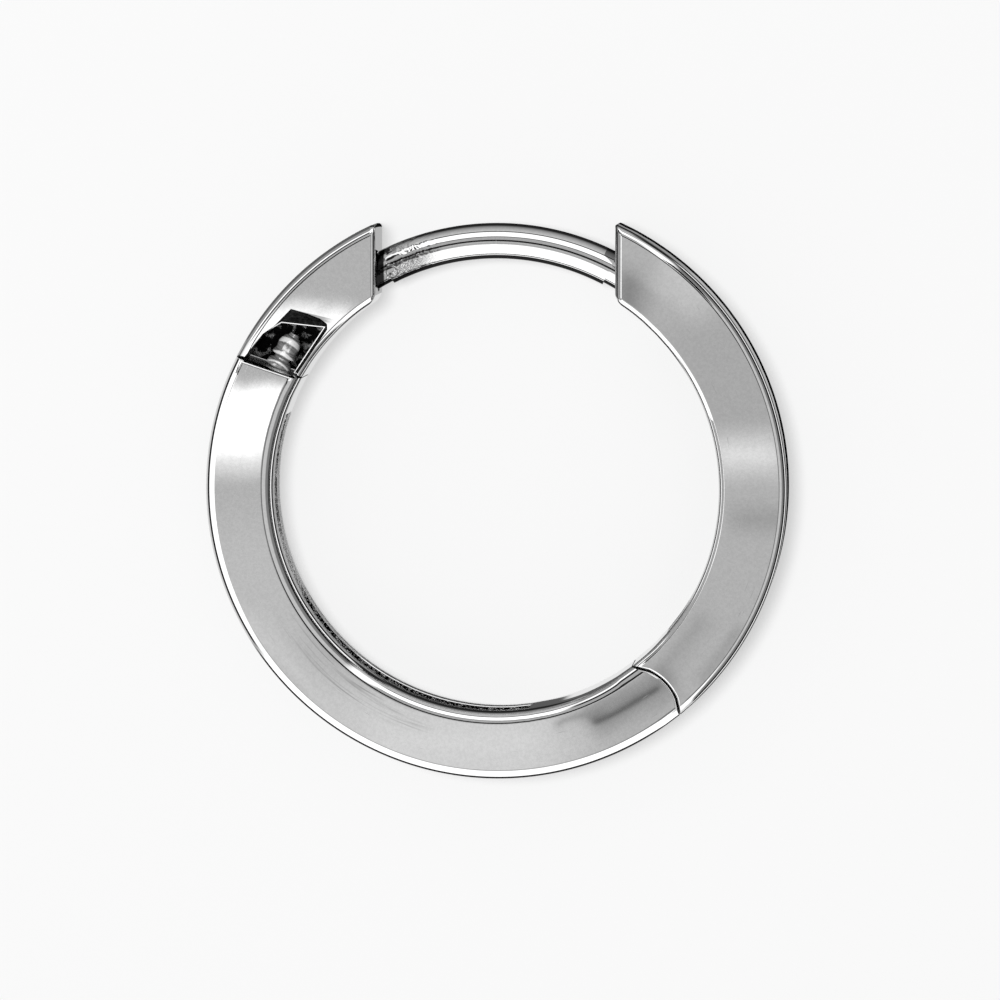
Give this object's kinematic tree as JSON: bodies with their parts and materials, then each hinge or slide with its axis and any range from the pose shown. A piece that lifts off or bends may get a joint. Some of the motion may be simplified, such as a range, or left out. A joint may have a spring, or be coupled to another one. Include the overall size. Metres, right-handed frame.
{
  "type": "hinged creole hoop earring",
  "caption": "Round hinged hoop of polished square band with a curved hinge seam, a round ear wire that snaps into a catch block, and a window over the catch stud.",
  "frame": {"origin": "middle of the part's box on the surface that the hoop lies on", "axes": "+Z along the hoop's axis, from the side face that it lies on to the side face with the window; +Y towards the ear wire; +X towards the front arm"},
  "size_m": [0.015, 0.0144, 0.0019],
  "materials": {
    "polished_silver": "mirror-polished rhodium-plated silver, rough cast in the channel and in the window",
    "turned_silver": "turned, lightly polished silver",
    "pin_metal": "drawn pin, cut flush and polished",
    "wire_silver": "polished round wire with slight ripples near its free tip"
  },
  "bodies": {
    "back": {"back_arm": "polished_silver", "catch_block": "polished_silver", "catch_stud": "turned_silver", "hinge_pin": "pin_metal"},
    "front": {"front_arm": "polished_silver", "ear_wire": "wire_silver"}
  },
  "joints": [
    {"name": "hinge", "type": "hinge", "parent": "back", "child": "front", "pos_m": [0.00344, -0.00553, 0.00095], "axis": [0, 0, -1], "range_deg": [0, 45]}
  ]
}
